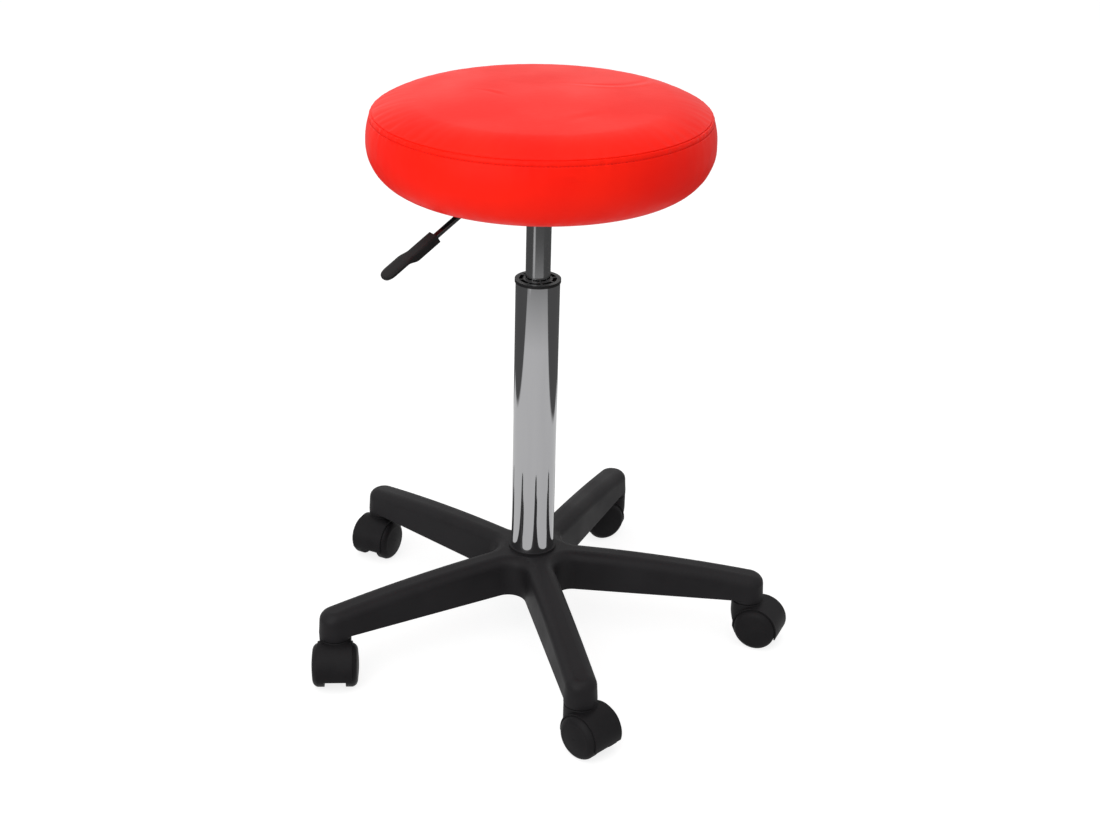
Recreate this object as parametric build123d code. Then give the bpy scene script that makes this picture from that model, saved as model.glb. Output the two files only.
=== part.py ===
from build123d import *
import math
import os

# A height-adjustable office stool: a round padded seat on a gas column, a five-armed moulded
# base and five twin-wheel casters. Millimetres, +Z up. The origin is on the floor, on the
# column's axis. The front arm points along -Y.

# One overrun serves every cut that passes through a face.
overrun = 1.0

# Where the turning parts stand. Angles are in degrees from +X, seen from above.
arm_count = 5
front_arm_angle = -90
trailing_angles = (-57, -36, -168, -129, -99)
lever_angle = 201

# Twin-wheel casters
wheel_diameter = 50.0
wheel_width = 14.6
wheel_gap = 24.8
wheel_face_radius = 17.0
wheel_face_crown = 1.2
wheel_edge_radius = 22.8
wheel_edge_depth = 3.4
wheel_shoulder_depth = 7.4
axle_diameter = 6.0
axle_running_clearance = 0.05
axle_end_wall = 2.2
caster_trail = 17.0
hood_width = 39.8
hood_wall = 1.7
hood_clearance = 0.5
hood_skirt_height = 17.0
hood_head_diameter = 36.6
hood_head_height = 53.0
hood_nose_height = 40.5
hood_nose_foot_height = 14.5
hood_nose_setback = 12.0
hood_web_foot_height = 13.0
hood_web_foot_length = 18.0
hood_head_bevel = 0.8

# Caster stems, gripped in the base by split rings
stem_diameter = 10.9
stem_length = 22.0
stem_pivot_diameter = 9.0
stem_pivot_length = 18.0
stem_flange_diameter = 15.0
stem_flange_thickness = 1.2
stem_socket_clearance = 0.05
swivel_clearance = 0.3
grip_ring_height = 5.0
grip_ring_wall = 0.55
grip_ring_slit = 1.5
grip_ring_rise = 11.0

# Five-armed base
base_radius = 258.0
arm_width = 37.2
arm_depth = 46.0
arm_draft = 3.5
arm_ridge_drop = 17.5
arm_top_radius = 12.0
web_corner_radius = 20.0
base_wall = 3.2
base_roof = 3.6
rib_thickness = 2.6
rib_setback = 5.0
cross_rib_shares = (0.36, 0.52, 0.68, 0.84)
socket_drop = 4.5
socket_diameter = 37.0
socket_block_height = 26.0
hub_diameter = 64.0
hub_drop = 4.5
hub_lip_width = 2.6
hub_lip_height = 2.4
hub_ring_wall = 2.0
hub_ring_height = 9.0

# Column tube, its foot bearing and its guide
column_diameter = 50.0
column_length = 335.3
column_wall = 1.5
column_taper = 1.0
column_foot_height = 3.0
column_floor = 4.0
collar_diameter = 52.0
collar_thickness = 3.6
guide_length = 80.0
guide_fit = 0.1
guide_running_clearance = 0.05
guide_web = 2.6
guide_ring_wall = 2.2
guide_rib_thickness = 1.8
guide_rib_count = 8
guide_pocket_depth = 34.0

# Gas cylinder and piston rod
cylinder_diameter = 28.0
cylinder_wall = 1.5
cylinder_length = 306.8
cylinder_end_thickness = 1.6
cylinder_exposed = 68.6
taper_length = 19.3
taper_narrowing = 0.55
inner_tube_diameter = 22.0
inner_tube_wall = 1.0
rod_guide_height = 22.0
valve_height = 35.0
gas_fit = 0.1
rod_diameter = 10.0
rod_neck_diameter = 8.0
rod_reach_share = 0.58
rod_tip_diameter = 7.0
rod_tip_length = 18.0
rod_foot_length = 7.0
piston_height = 14.0
bearing_inner_diameter = 12.6
bearing_outer_diameter = 26.0
bearing_washer_thickness = 2.0
bearing_height = 4.0
bearing_clearance = 0.05
buffer_diameter = 30.0
buffer_height = 25.0
clip_diameter = 15.0
clip_thickness = 1.2
clip_groove_depth = 0.6
clip_opening = 6.0
foot_washer_diameter = 18.0
foot_washer_thickness = 1.2

# Release pin in the valve
pin_diameter = 6.0
pin_length = 15.0
pin_crown_radius = 6.0
pin_protrusion = 3.5
pin_travel = 2.5
pin_clearance = 0.05
pin_gap = 0.3

# Steel mounting plate with its taper socket
socket_tube_diameter = 38.0
socket_tube_wall = 5.8
plate_size = 150.0
plate_corner_radius = 14.0
plate_thickness = 2.5
plate_lip_depth = 12.0
plate_hole_spacing = 120.0
plate_rise = 14.8
lever_slot_width = 9.5
lever_slot_clearance = 3.0

# Release lever
lever_rod_diameter = 7.0
lever_inner_overhang = 5.0
lever_bend_reach = 94.0
lever_bend_radius = 14.0
lever_slope = 31.8
lever_rod_slope_length = 66.0
lever_pivot_reach = 40.0
pivot_pin_diameter = 4.0
pivot_clearance = 0.05
bracket_gap = 0.5
bracket_thickness = 2.5
bracket_length = 12.0
bracket_drop = 5.0
pivot_pin_overhang = 1.4
paddle_length = 72.0
paddle_start = 44.5
sleeve_length = 30.0
sleeve_width = 16.8
sleeve_thickness = 9.5
blade_width = 21.4
blade_thickness = 4.8
blade_rise = 3.6
blade_bend_length = 14.0
paddle_fit = 0.05

# Plate fixings, M6
bolt_diameter = 6.0
bolt_head_across_flats = 10.0
bolt_head_height = 4.0
bolt_grip = 14.0
bolt_clearance = 0.4
washer_diameter = 12.0
washer_thickness = 1.2
tee_nut_diameter = 19.0
tee_nut_flange_thickness = 1.3
tee_nut_barrel_diameter = 8.0
tee_nut_barrel_height = 9.0
thread_clearance = 0.05
nut_fit = 0.1

# Seat board, foam and upholstery
board_diameter = 284.0
board_thickness = 12.0
dust_cover_thickness = 0.6
dust_cover_inset = 4.0
dust_cover_step_inset = 19.0
cover_thickness = 1.2
cover_margin_width = 16.0
cover_fit = 0.1
board_edge_clearance = 0.2
seat_overhang = 46.65
seat_roll_rise = 48.5
seat_roll_middle_rise = 19.9
seat_roll_middle_overhang = 38.3
seam_rise = 79.0
seam_overhang = 40.5
side_middle_rise = 64.5
side_middle_overhang = 45.1
shoulder_rise = 93.4
shoulder_overhang = 0.1
shoulder_middle_rise = 87.6
shoulder_middle_overhang = 23.05
crown_rise = 98.7

# Heights and radii that follow from the sizes above
arm_angles = [front_arm_angle + k * 360 / arm_count for k in range(arm_count)]
wheel_radius = wheel_diameter / 2
axle_radius = axle_diameter / 2
hood_radius = wheel_radius + hood_clearance + hood_wall
head_radius = hood_head_diameter / 2
socket_low = hood_head_height + swivel_clearance + stem_flange_thickness
arm_low = socket_low + socket_drop
hub_top = arm_low + arm_depth
column_low = socket_low + column_foot_height
column_top = hub_top + column_length
collar_top = column_top + collar_thickness
bearing_low = column_low + column_floor
race_high = bearing_low + bearing_washer_thickness + bearing_clearance + bearing_height
upper_washer_low = race_high + bearing_clearance
rod_shoulder = upper_washer_low + bearing_washer_thickness
taper_low = collar_top + cylinder_exposed
cylinder_top = taper_low + taper_length
cylinder_low = cylinder_top - cylinder_length
pin_top = cylinder_top + pin_protrusion
lever_height = pin_top + pin_gap + lever_rod_diameter / 2
plate_low = lever_height + plate_rise
plate_top = plate_low + plate_thickness
board_low = plate_top + dust_cover_thickness + cover_fit
board_top = board_low + board_thickness
seat_low = board_low - cover_fit - cover_thickness
board_radius = board_diameter / 2
underside_radius = board_radius + cover_fit + cover_thickness + board_edge_clearance
margin_radius = board_radius - cover_margin_width
seam_radius = board_radius + seam_overhang
shoulder_radius = board_radius + shoulder_overhang


def tube(outer, inner, low, high):
    """A straight ring on the column's axis, from height low to height high."""
    ring = Cylinder(outer, high - low) - Cylinder(inner, high - low + overrun)
    return Pos(0, 0, (low + high) / 2) * ring


def rod(radius, low, high):
    """A straight round bar on the column's axis."""
    return Pos(0, 0, (low + high) / 2) * Cylinder(radius, high - low)


def turned(*corners):
    """A solid turned about the column's axis from (radius, height) corners."""
    return revolve(make_face(Plane.XZ * Polyline(*corners, close=True)), Axis.Z)


def crown_arc(rim, top):
    """An arc from a (radius, height) rim up to the axis, where it lies level."""
    rise = top - rim[1]
    bend = (rim[0] ** 2 + rise**2) / (2 * rise)
    turn_in = math.asin(rim[0] / bend) / 2
    half_way = (bend * math.sin(turn_in), top - bend * (1 - math.cos(turn_in)))
    return ThreePointArc(rim, half_way, (0, top))


def cross_bar(radius, length, x, z):
    """A round bar lying along Y, centred on the XZ plane."""
    return Pos(x, 0, z) * Rot(90, 0, 0) * Cylinder(radius, length)


def slab(length, width, low, high, x=0, y=0):
    """An upright block between two heights."""
    return Pos(x, y, (low + high) / 2) * Box(length, width, high - low)


def write(name, shape):
    """One STEP file for each named piece."""
    shape.label = name
    export_step(shape, f"parts/{name}.step")


os.makedirs("parts", exist_ok=True)

# Casters. Each is drawn with its stem on the Z axis and its axle behind it, along +X.


def caster_hood():
    """The moulded hood: a head round the stem, a web between the wheels and a skirt over them."""
    head_low = hood_nose_foot_height
    head = rod(head_radius, head_low, hood_head_height)
    head = chamfer(head.edges().sort_by(Axis.Z)[-1], hood_head_bevel)
    drum = cross_bar(hood_radius, hood_width, caster_trail, wheel_radius)
    body = head + drum
    nose_foot = hood_nose_setback - head_radius
    web_front = caster_trail - hood_web_foot_length / 2
    web_back = caster_trail + hood_web_foot_length / 2
    back = caster_trail + hood_radius + overrun
    top = hood_head_height + overrun
    outline = Polyline(
        (-head_radius, top),
        (-head_radius, hood_nose_height),
        (nose_foot, hood_nose_foot_height),
        (web_front, hood_web_foot_height),
        (web_back, hood_web_foot_height),
        (web_back, hood_skirt_height),
        (back, hood_skirt_height),
        (back, top),
        close=True,
    )
    keep = extrude(Plane.XZ * make_face(outline), amount=hood_width, both=True)
    body = body & keep
    room = wheel_radius + hood_clearance
    web_half = wheel_gap / 2 - hood_clearance
    wheel_room = cross_bar(room, hood_width, caster_trail, wheel_radius)
    for side in (-1, 1):
        body -= Pos(0, side * (web_half + hood_width / 2), 0) * wheel_room
    bore_depth = stem_pivot_length + hood_clearance
    bore_low = hood_head_height + swivel_clearance - bore_depth
    body -= rod(stem_pivot_diameter / 2 + axle_running_clearance, bore_low, top)
    body -= cross_bar(axle_radius, hood_width, caster_trail, wheel_radius)
    return body


def caster_wheel():
    """One wheel: a crowned outer face, a rounded shoulder, a straight tread and a blind bore."""
    inner = wheel_gap / 2
    outer = inner + wheel_width
    bore = axle_radius + axle_running_clearance
    bore_end = outer - axle_end_wall
    shoulder = (wheel_radius, outer - wheel_shoulder_depth)
    edge = (wheel_edge_radius, outer - wheel_edge_depth)
    face_rim = (wheel_face_radius, outer - wheel_face_crown)
    inner_rim = (wheel_radius, inner)
    section = Polyline((0, outer), (0, bore_end), (bore, bore_end), (bore, inner), inner_rim, shoulder)
    section += ThreePointArc(shoulder, edge, face_rim)
    section += crown_arc(face_rim, outer)
    disc = revolve(Plane.XY * make_face(section), Axis.Y)
    return Pos(caster_trail, 0, wheel_radius) * disc


def caster_stem():
    """The steel stem: a shank in the base, a flange, and the pivot that the hood turns on."""
    shank = stem_diameter / 2
    flange = stem_flange_diameter / 2
    pivot = stem_pivot_diameter / 2
    groove = shank - grip_ring_wall
    flange_low = socket_low - stem_flange_thickness
    pivot_low = flange_low - stem_pivot_length + hood_clearance
    ring_low = socket_low + grip_ring_rise
    ring_high = ring_low + grip_ring_height
    return turned(
        (0, pivot_low),
        (pivot, pivot_low),
        (pivot, flange_low),
        (flange, flange_low),
        (flange, socket_low),
        (shank, socket_low),
        (shank, ring_low),
        (groove, ring_low),
        (groove, ring_high),
        (shank, ring_high),
        (shank, socket_low + stem_length),
        (0, socket_low + stem_length),
    )


def grip_ring():
    """The split spring ring that holds a stem in its socket."""
    shank = stem_diameter / 2
    low = socket_low + grip_ring_rise + stem_socket_clearance
    high = low + grip_ring_height - 2 * stem_socket_clearance
    ring = tube(shank + stem_socket_clearance, shank - grip_ring_wall, low, high)
    return ring - slab(stem_diameter, grip_ring_slit, low - overrun, high + overrun, x=stem_diameter / 2)


hood = caster_hood()
wheel = caster_wheel()
stem = caster_stem()
axle_length = wheel_gap + 2 * (wheel_width - axle_end_wall - hood_clearance)
axle = cross_bar(axle_radius, axle_length, caster_trail, wheel_radius)
ring_pieces = []
for number, (arm_angle, trailing_angle) in enumerate(zip(arm_angles, trailing_angles), start=1):
    place = Rot(0, 0, arm_angle) * Pos(base_radius, 0, 0) * Rot(0, 0, trailing_angle - arm_angle)
    write(f"caster_hood_{number}", place * hood)
    write(f"caster_axle_{number}", place * axle)
    write(f"caster_stem_{number}", place * stem)
    write(f"wheel_left_{number}", place * wheel)
    write(f"wheel_right_{number}", place * Rot(0, 0, 180) * Pos(-2 * caster_trail, 0, 0) * wheel)
    ring_pieces.append(place * grip_ring())
write("grip_rings", Compound(ring_pieces))

# Base: one moulding, open underneath, with ribbed arms and a conical bore for the column.


def star_plan(half_width, corner_radius):
    """The outline of the five arms from above, with rounded corners between them."""
    arm = Pos(base_radius / 2, 0) * SlotCenterToCenter(base_radius, 2 * half_width)
    plan = Sketch() + [Rot(0, 0, angle) * arm for angle in arm_angles]
    near = [v for v in plan.vertices() if math.hypot(v.X, v.Y) < base_radius / 2]
    return fillet(near, corner_radius)


def star_block(inset, low, roof):
    """The drafted star under a gently domed top, inset from the outside by a wall and a roof."""
    plan = star_plan(arm_width / 2 - inset, web_corner_radius + inset)
    block = extrude(Pos(0, 0, low) * plan, amount=hub_top - low + overrun, taper=arm_draft)
    dome_radius = base_radius**2 / (2 * arm_ridge_drop) + arm_ridge_drop / 2
    return block & Pos(0, 0, hub_top - roof - dome_radius) * Sphere(dome_radius)


def column_cone(low, high, inset=0):
    """The column's outside, straight above the hub and tapered within it."""
    radius = column_diameter / 2 - inset
    narrowing = math.tan(math.radians(column_taper))
    foot = radius - (hub_top - low) * narrowing
    return turned((0, low), (foot, low), (radius, hub_top), (radius, high), (0, high))


outer_star = star_block(0, arm_low, 0)
top_edges = [
    edge
    for edge in outer_star.faces().sort_by(Axis.Z)[-1].edges()
    if math.hypot(edge.center().X, edge.center().Y) > column_diameter / 2
]
outer_star = fillet(top_edges, arm_top_radius)
base = outer_star - star_block(base_wall, arm_low - overrun, base_roof)
ribs = []
hub_radius = hub_diameter / 2
rib_low = arm_low + rib_setback
for angle in arm_angles:
    spine = slab(base_radius - hub_radius, rib_thickness, rib_low, hub_top, x=(base_radius + hub_radius) / 2)
    ribs.append(Rot(0, 0, angle) * spine)
    for share in cross_rib_shares:
        cross = slab(rib_thickness, arm_width, rib_low, hub_top, x=base_radius * share)
        ribs.append(Rot(0, 0, angle) * cross)
base += [rib & outer_star for rib in ribs]
base += rod(hub_radius, arm_low, hub_top - base_roof / 2) & outer_star
base += rod(hub_radius, arm_low - hub_drop, arm_low)
base += rod(column_diameter / 2 + hub_lip_width, hub_top - base_roof, hub_top + hub_lip_height)
post_foot = rod(socket_diameter / 2, socket_low, arm_low)
post = rod(socket_diameter / 2, arm_low, socket_low + socket_block_height)
socket_bore_low = socket_low - overrun
socket_bore_high = socket_low + stem_length + overrun
socket_bore = rod(stem_diameter / 2 + stem_socket_clearance, socket_bore_low, socket_bore_high)
socket_places = [Rot(0, 0, angle) * Pos(base_radius, 0, 0) for angle in arm_angles]
base += [place * post_foot for place in socket_places]
base += [(place * post) & outer_star for place in socket_places]
base -= column_cone(arm_low - hub_drop - overrun, hub_top + hub_lip_height + overrun)
base -= [place * socket_bore for place in socket_places]
write("star_base", base)
hub_low = arm_low - hub_drop
write("hub_ring", tube(hub_radius + hub_ring_wall, hub_radius, hub_low, hub_low + hub_ring_height))

# Column: a chromed tube with a tapered foot, and the black guide pressed into its top.
bore_radius = column_diameter / 2 - column_wall
column = column_cone(column_low, column_top)
column -= column_cone(bearing_low, column_top + overrun, column_wall)
column -= rod(bearing_inner_diameter / 2, column_low - overrun, bearing_low + overrun)
write("column_tube", column)


def guide():
    """The guide: a flanged collar on a long sleeve, with a ribbed pocket round its bore."""
    bore = cylinder_diameter / 2 + guide_running_clearance
    sleeve = bore_radius - guide_fit
    body = tube(sleeve, bore, column_top - guide_length, collar_top)
    body += tube(collar_diameter / 2, bore, column_top, collar_top)
    pocket_low = collar_top - guide_pocket_depth
    pocket = tube(sleeve - guide_ring_wall, bore + guide_web, pocket_low, collar_top + overrun)
    for k in range(guide_rib_count):
        rib = slab(sleeve, guide_rib_thickness, pocket_low, collar_top, x=sleeve / 2)
        pocket -= Rot(0, 0, k * 360 / guide_rib_count) * rib
    return body - pocket


write("guide_bush", guide())

# Foot bearing: two steel washers and a caged race between them, under the rod's shoulder.
lower_washer_high = bearing_low + bearing_washer_thickness
race_low = lower_washer_high + bearing_clearance
bearing_outer = bearing_outer_diameter / 2
bearing_inner = bearing_inner_diameter / 2
washer_bore = rod_neck_diameter / 2 + bearing_clearance
write("bearing_lower_washer", tube(bearing_outer, bearing_inner, bearing_low, lower_washer_high))
write("bearing_race", tube(bearing_outer, bearing_inner, race_low, race_high))
write("bearing_upper_washer", tube(bearing_outer, washer_bore, upper_washer_low, rod_shoulder))

# Piston rod, with the piston on its tip, the bump stop on its shoulder and a clip at its foot.
foot_low = column_low - rod_foot_length
clip_low = column_low - swivel_clearance - foot_washer_thickness - clip_thickness
clip_high = clip_low + clip_thickness
neck = rod_neck_diameter / 2
groove = neck - clip_groove_depth
piston_low = cylinder_low + cylinder_length * rod_reach_share
tip_high = piston_low + rod_tip_length
piston_rod = turned(
    (0, foot_low),
    (neck, foot_low),
    (neck, clip_low),
    (groove, clip_low),
    (groove, clip_high),
    (neck, clip_high),
    (neck, rod_shoulder),
    (rod_diameter / 2, rod_shoulder),
    (rod_diameter / 2, piston_low),
    (rod_tip_diameter / 2, piston_low),
    (rod_tip_diameter / 2, tip_high),
    (0, tip_high),
)
write("piston_rod", piston_rod)
inner_bore = inner_tube_diameter / 2 - inner_tube_wall
write("piston", tube(inner_bore - gas_fit / 2, rod_tip_diameter / 2, piston_low, piston_low + piston_height))
write("buffer", tube(buffer_diameter / 2, rod_diameter / 2, rod_shoulder, rod_shoulder + buffer_height))
foot_washer = tube(foot_washer_diameter / 2, neck, clip_high, clip_high + foot_washer_thickness)
write("foot_washer", foot_washer)
clip = tube(clip_diameter / 2, groove, clip_low, clip_high)
clip -= slab(clip_diameter, clip_opening, clip_low - overrun, clip_high + overrun, x=clip_diameter / 2)
write("retaining_clip", clip)

# Gas cylinder: a tapered outer tube, an inner pressure tube, the rod's guide and the valve.
cylinder_radius = cylinder_diameter / 2
cylinder_bore = cylinder_radius - cylinder_wall
taper_top_radius = cylinder_radius - taper_narrowing
outer_tube = turned(
    (0, cylinder_low),
    (cylinder_radius, cylinder_low),
    (cylinder_radius, taper_low),
    (taper_top_radius, cylinder_top),
    (0, cylinder_top),
)
end_low = cylinder_top - cylinder_end_thickness
outer_tube -= turned(
    (0, cylinder_low - overrun),
    (cylinder_bore, cylinder_low - overrun),
    (cylinder_bore, taper_low),
    (cylinder_bore - taper_narrowing, end_low),
    (0, end_low),
)
outer_tube -= rod(pin_diameter / 2 + gas_fit, end_low - overrun, cylinder_top + overrun)
write("pressure_cylinder", outer_tube)
guide_high = cylinder_low + rod_guide_height
valve_low = end_low - valve_height
seal_bore = rod_diameter / 2 + guide_running_clearance
write("rod_guide", tube(cylinder_bore - gas_fit, seal_bore, cylinder_low, guide_high))
write("inner_tube", tube(inner_tube_diameter / 2, inner_bore, guide_high, valve_low))
valve_radius = cylinder_bore - taper_narrowing - gas_fit
pin_low = pin_top - pin_length
valve = rod(valve_radius, valve_low, end_low)
valve -= rod(pin_diameter / 2 + pin_clearance, pin_low - pin_travel - pin_gap, end_low + overrun)
write("valve_body", valve)


def release_pin():
    """The valve's push pin, with a crowned top that the lever presses."""
    crown = Pos(0, 0, pin_top - pin_crown_radius) * Sphere(pin_crown_radius)
    below = rod(pin_diameter, pin_low, pin_top - pin_crown_radius)
    return rod(pin_diameter / 2, pin_low, pin_top) & (crown + below)


write("release_pin", release_pin())

# Seat mechanism, drawn with the lever along +X and turned to the lever's angle.
turn = Rot(0, 0, lever_angle)
lever_radius = lever_rod_diameter / 2
slot_low = lever_height - lever_radius - lever_slot_clearance


def taper_socket():
    """The turned socket that wedges on the cylinder, slotted where the lever comes in."""
    outer = socket_tube_diameter / 2
    body = rod(outer, taper_low, plate_top)
    body -= turned(
        (0, taper_low),
        (cylinder_radius, taper_low),
        (taper_top_radius, cylinder_top),
        (outer - socket_tube_wall, cylinder_top),
        (outer - socket_tube_wall, plate_top + overrun),
        (0, plate_top + overrun),
    )
    return body - slab(outer + overrun, lever_slot_width, slot_low, plate_low, x=(outer + overrun) / 2)


def seat_plate():
    """The pressed plate: a flat top, a folded lip all round, four holes and the socket's hole."""
    blank = RectangleRounded(plate_size, plate_size, plate_corner_radius)
    inside = plate_size - 2 * plate_thickness
    hollow = RectangleRounded(inside, inside, plate_corner_radius - plate_thickness)
    lip_low = plate_low - plate_lip_depth
    body = extrude(Pos(0, 0, lip_low) * blank, amount=plate_top - lip_low)
    body -= extrude(Pos(0, 0, lip_low - overrun) * hollow, amount=plate_lip_depth + overrun)
    body -= rod(socket_tube_diameter / 2, plate_low - overrun, plate_top + overrun)
    body -= slab(plate_size / 2, lever_slot_width, lip_low - overrun, plate_low, x=plate_size / 2)
    hole = rod((bolt_diameter + bolt_clearance) / 2, plate_low - overrun, plate_top + overrun)
    return body - [place * hole for place in bolt_places]


def lever_bracket():
    """The welded bracket: a web under the plate and two ears that carry the pivot pin."""
    ear_gap = lever_rod_diameter + 2 * bracket_gap
    width = ear_gap + 2 * bracket_thickness
    low = lever_height - bracket_drop
    body = slab(bracket_length, width, low, plate_low, x=lever_pivot_reach)
    ear_high = plate_low - bracket_thickness
    body -= slab(bracket_length + overrun, ear_gap, low - overrun, ear_high, x=lever_pivot_reach)
    return body - cross_bar(pivot_pin_diameter / 2, width + overrun, lever_pivot_reach, lever_height)


def lever_line():
    """The lever rod's centre line: level under the seat, then bent down outside it."""
    slope = math.radians(lever_slope)
    bend = (lever_bend_reach, 0, lever_height)
    end = (
        lever_bend_reach + lever_rod_slope_length * math.cos(slope),
        0,
        lever_height - lever_rod_slope_length * math.sin(slope),
    )
    start = (-lever_inner_overhang, 0, lever_height)
    return FilletPolyline(start, bend, end, radius=lever_bend_radius)


def lever_rod():
    """The bent steel rod, cross-drilled for its pivot pin."""
    line = lever_line()
    section = Plane(line @ 0, z_dir=line % 0) * Circle(lever_radius)
    body = sweep(section, path=line)
    hole = pivot_pin_diameter / 2 + pivot_clearance
    return body - cross_bar(hole, lever_rod_diameter + overrun, lever_pivot_reach, lever_height)


def lever_paddle():
    """The moulded grip: a square sleeve on the rod that steps up into a flat rounded blade."""
    half = sleeve_thickness / 2
    bend_end = sleeve_length + blade_bend_length
    blade_low = blade_rise - blade_thickness / 2
    blade_high = blade_rise + blade_thickness / 2
    side = Line((0, -half), (sleeve_length, -half))
    side += Spline((sleeve_length, -half), (bend_end, blade_low), tangents=[(1, 0), (1, 0)])
    side += Line((bend_end, blade_low), (paddle_length, blade_low))
    side += Line((paddle_length, blade_low), (paddle_length, blade_high))
    side += Line((paddle_length, blade_high), (bend_end, blade_high))
    side += Spline((bend_end, blade_high), (sleeve_length, half), tangents=[(-1, 0), (-1, 0)])
    side += Line((sleeve_length, half), (0, half))
    side += Line((0, half), (0, -half))
    body = extrude(Plane.XZ * make_face(side), amount=blade_width, both=True)
    sleeve_half = sleeve_width / 2
    blade_half = blade_width / 2
    tip = paddle_length - blade_half
    plan = Line((0, -sleeve_half), (sleeve_length, -sleeve_half))
    plan += Spline((sleeve_length, -sleeve_half), (bend_end, -blade_half), tangents=[(1, 0), (1, 0)])
    plan += Line((bend_end, -blade_half), (tip, -blade_half))
    plan += ThreePointArc((tip, -blade_half), (paddle_length, 0), (tip, blade_half))
    plan += Line((tip, blade_half), (bend_end, blade_half))
    plan += Spline((bend_end, blade_half), (sleeve_length, sleeve_half), tangents=[(-1, 0), (-1, 0)])
    plan += Line((sleeve_length, sleeve_half), (0, sleeve_half))
    plan += Line((0, sleeve_half), (0, -sleeve_half))
    outline = extrude(Pos(0, 0, -sleeve_thickness) * make_face(plan), amount=2 * sleeve_thickness)
    grip = body & outline
    slope_length = lever_rod_slope_length
    bore_length = slope_length - paddle_start + paddle_fit
    bore = Rot(0, 90, 0) * Cylinder(lever_radius + paddle_fit, 2 * bore_length)
    grip -= bore
    down = Pos(lever_bend_reach, 0, lever_height) * Rot(0, lever_slope, 0) * Pos(paddle_start, 0, 0)
    return down * grip


half_spacing = plate_hole_spacing / 2
bolt_places = [Pos(x * half_spacing, y * half_spacing, 0) for x in (-1, 1) for y in (-1, 1)]
write("taper_socket", turn * taper_socket())
write("seat_plate", turn * seat_plate())
write("lever_bracket", turn * lever_bracket())
write("lever_rod", turn * lever_rod())
write("lever_paddle", turn * lever_paddle())
pin_span = lever_rod_diameter + 2 * (bracket_gap + bracket_thickness + pivot_pin_overhang)
write("pivot_pin", turn * cross_bar(pivot_pin_diameter / 2, pin_span, lever_pivot_reach, lever_height))

# Plate fixings: bolts from below, through washers and the board, into tee nuts.
washer_low = plate_low - washer_thickness
head_low = washer_low - bolt_head_height
bolt_head = extrude(
    Pos(0, 0, head_low) * RegularPolygon(bolt_head_across_flats / 2, 6, major_radius=False),
    amount=bolt_head_height,
)
bolt = bolt_head + rod(bolt_diameter / 2, washer_low, plate_low + bolt_grip)
washer = tube(washer_diameter / 2, (bolt_diameter + bolt_clearance) / 2, washer_low, plate_low)
flange_low = board_top - tee_nut_flange_thickness
nut = rod(tee_nut_diameter / 2, flange_low, board_top)
nut += rod(tee_nut_barrel_diameter / 2, board_top - tee_nut_barrel_height, flange_low)
nut -= rod(bolt_diameter / 2 + thread_clearance, board_low, board_top + overrun)
write("plate_bolts", Compound([turn * place * bolt for place in bolt_places]))
write("plate_washers", Compound([turn * place * washer for place in bolt_places]))
write("tee_nuts", Compound([turn * place * nut for place in bolt_places]))

# Seat: plywood board, foam, a stitched two-piece cover and a dust cover.
board = rod(board_radius, board_low, board_top)
board_hole = rod(tee_nut_barrel_diameter / 2 + nut_fit, board_low - overrun, board_top + overrun)
board_hole += rod(tee_nut_diameter / 2 + nut_fit, flange_low, board_top + overrun)
board -= [turn * place * board_hole for place in bolt_places]
write("seat_board", board)


def band_curve(inset):
    """The side band's curve, from its rolled bottom edge up to the seam, in from the outside."""
    bottom = (underside_radius, seat_low + inset)
    widest = (board_radius + seat_overhang - inset, seat_low + seat_roll_rise)
    roll_radius = board_radius + seat_roll_middle_overhang - inset
    roll = (roll_radius, seat_low + seat_roll_middle_rise + inset / 2)
    side = (board_radius + side_middle_overhang - inset, seat_low + side_middle_rise)
    seam = (seam_radius - inset, seat_low + seam_rise)
    return ThreePointArc(bottom, roll, widest) + ThreePointArc(widest, side, seam)


def panel_curve(inset):
    """The top panel's curve, from the seam over the shoulder to the crown."""
    seam = (seam_radius - inset, seat_low + seam_rise)
    shoulder = (shoulder_radius, seat_low + shoulder_rise - inset)
    middle_radius = board_radius + shoulder_middle_overhang - inset / 2
    middle = (middle_radius, seat_low + shoulder_middle_rise - inset)
    return ThreePointArc(seam, middle, shoulder) + crown_arc(shoulder, seat_low + crown_rise - inset)


def turned_shell(outer, inner):
    """A skin turned between two curves, closed by straight ends."""
    ends = Line(outer @ 1, inner @ 1) + Line(inner @ 0, outer @ 0)
    return revolve(Plane.XZ * make_face(outer + inner + ends), Axis.Z)


def margin_line(inset):
    """The flat margin of the cover, stapled under the board."""
    height = seat_low + inset
    return Line((margin_radius, height), (underside_radius, height))


outer_band = margin_line(0) + band_curve(0)
inner_band = margin_line(cover_thickness) + band_curve(cover_thickness)
write("side_band", turned_shell(Wire(outer_band.edges()), Wire(inner_band.edges())))
write("top_panel", turned_shell(Wire(panel_curve(0).edges()), Wire(panel_curve(cover_thickness).edges())))

foam_inset = cover_thickness + cover_fit
foam_edges = band_curve(foam_inset) + panel_curve(foam_inset)
foam_bottom = (underside_radius, seat_low + foam_inset)
foam_top = (0, seat_low + crown_rise - foam_inset)
foam_edges += Line(foam_top, (0, foam_bottom[1])) + Line((0, foam_bottom[1]), foam_bottom)
foam = revolve(Plane.XZ * make_face(foam_edges), Axis.Z)
foam -= rod(board_radius + cover_fit, seat_low, board_top)
write("seat_foam", foam)

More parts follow.
